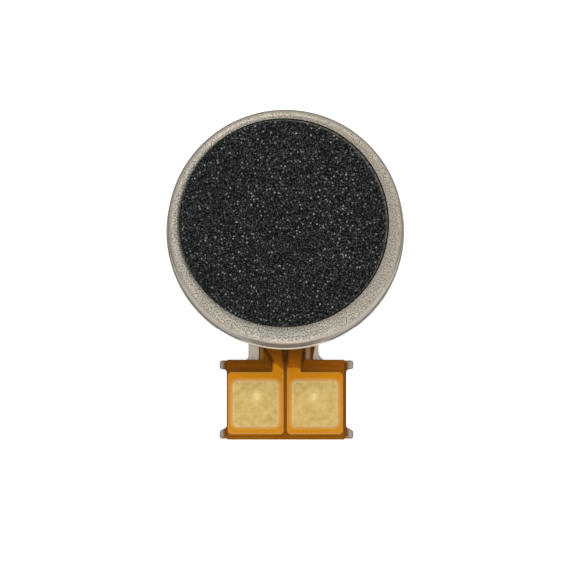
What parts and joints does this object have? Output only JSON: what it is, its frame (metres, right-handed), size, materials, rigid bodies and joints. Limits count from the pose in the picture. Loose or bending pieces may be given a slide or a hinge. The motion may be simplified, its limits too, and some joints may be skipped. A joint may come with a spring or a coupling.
{
  "type": "vibration coin motor",
  "caption": "Round coin vibration motor: a sealed metal case holds an eccentric rotor on a shaft, with a foam pad on top and a rigid tail carrying two flat gold contacts.",
  "frame": {"origin": "where the shaft's axis meets the underside of the base plate", "axes": "+Z along the shaft towards the foam pad, -Y towards the contact tail, +X to the right seen from the tail"},
  "size_m": [0.01, 0.0138, 0.003],
  "materials": {
    "case_steel": "satin",
    "bracket_steel": "satin",
    "shaft_steel": "polished",
    "washer_plastic": "matte",
    "magnet_plating": "satin",
    "bond_adhesive": "matte",
    "base_polyimide": "satin",
    "trace_copper": "satin",
    "coverlay_polyimide": "satin",
    "contact_gold": "satin",
    "brush_alloy": "satin",
    "solder_tin": "satin",
    "foam_adhesive_film": "matte",
    "foam_rubber": "matte",
    "sintered_bronze": "matte",
    "board_laminate": "satin",
    "commutator_gold": "polished",
    "coil_wire": "satin",
    "weight_tungsten": "matte",
    "mould_resin": "satin"
  },
  "bodies": {
    "housing": {"case_cup": "case_steel", "bracket": "bracket_steel", "shaft": "shaft_steel", "lower_washer": "washer_plastic", "upper_washer": "washer_plastic", "magnet_ring": "magnet_plating", "fpc_bond_tape": "bond_adhesive", "fpc_base_film": "base_polyimide", "fpc_trace_left": "trace_copper", "fpc_trace_right": "trace_copper", "fpc_coverlay": "coverlay_polyimide", "contact_pad_left": "contact_gold", "contact_pad_right": "contact_gold", "brush_left": "brush_alloy", "brush_right": "brush_alloy", "brush_solder_left": "solder_tin", "brush_solder_right": "solder_tin", "foam_adhesive": "foam_adhesive_film", "foam_pad": "foam_rubber"},
    "rotor": {"bearing": "sintered_bronze", "rotor_board": "board_laminate", "commutator_segment_1": "commutator_gold", "commutator_segment_2": "commutator_gold", "commutator_segment_3": "commutator_gold", "commutator_segment_4": "commutator_gold", "commutator_segment_5": "commutator_gold", "commutator_segment_6": "commutator_gold", "coil_1": "coil_wire", "coil_2": "coil_wire", "coil_solder": "solder_tin", "eccentric_weight": "weight_tungsten", "rotor_mould": "mould_resin"}
  },
  "joints": [
    {"name": "rotor_spin", "type": "hinge", "parent": "housing", "child": "rotor", "pos_m": [0, 0, 0], "axis": [0, 0, 1], "continuous": true}
  ]
}
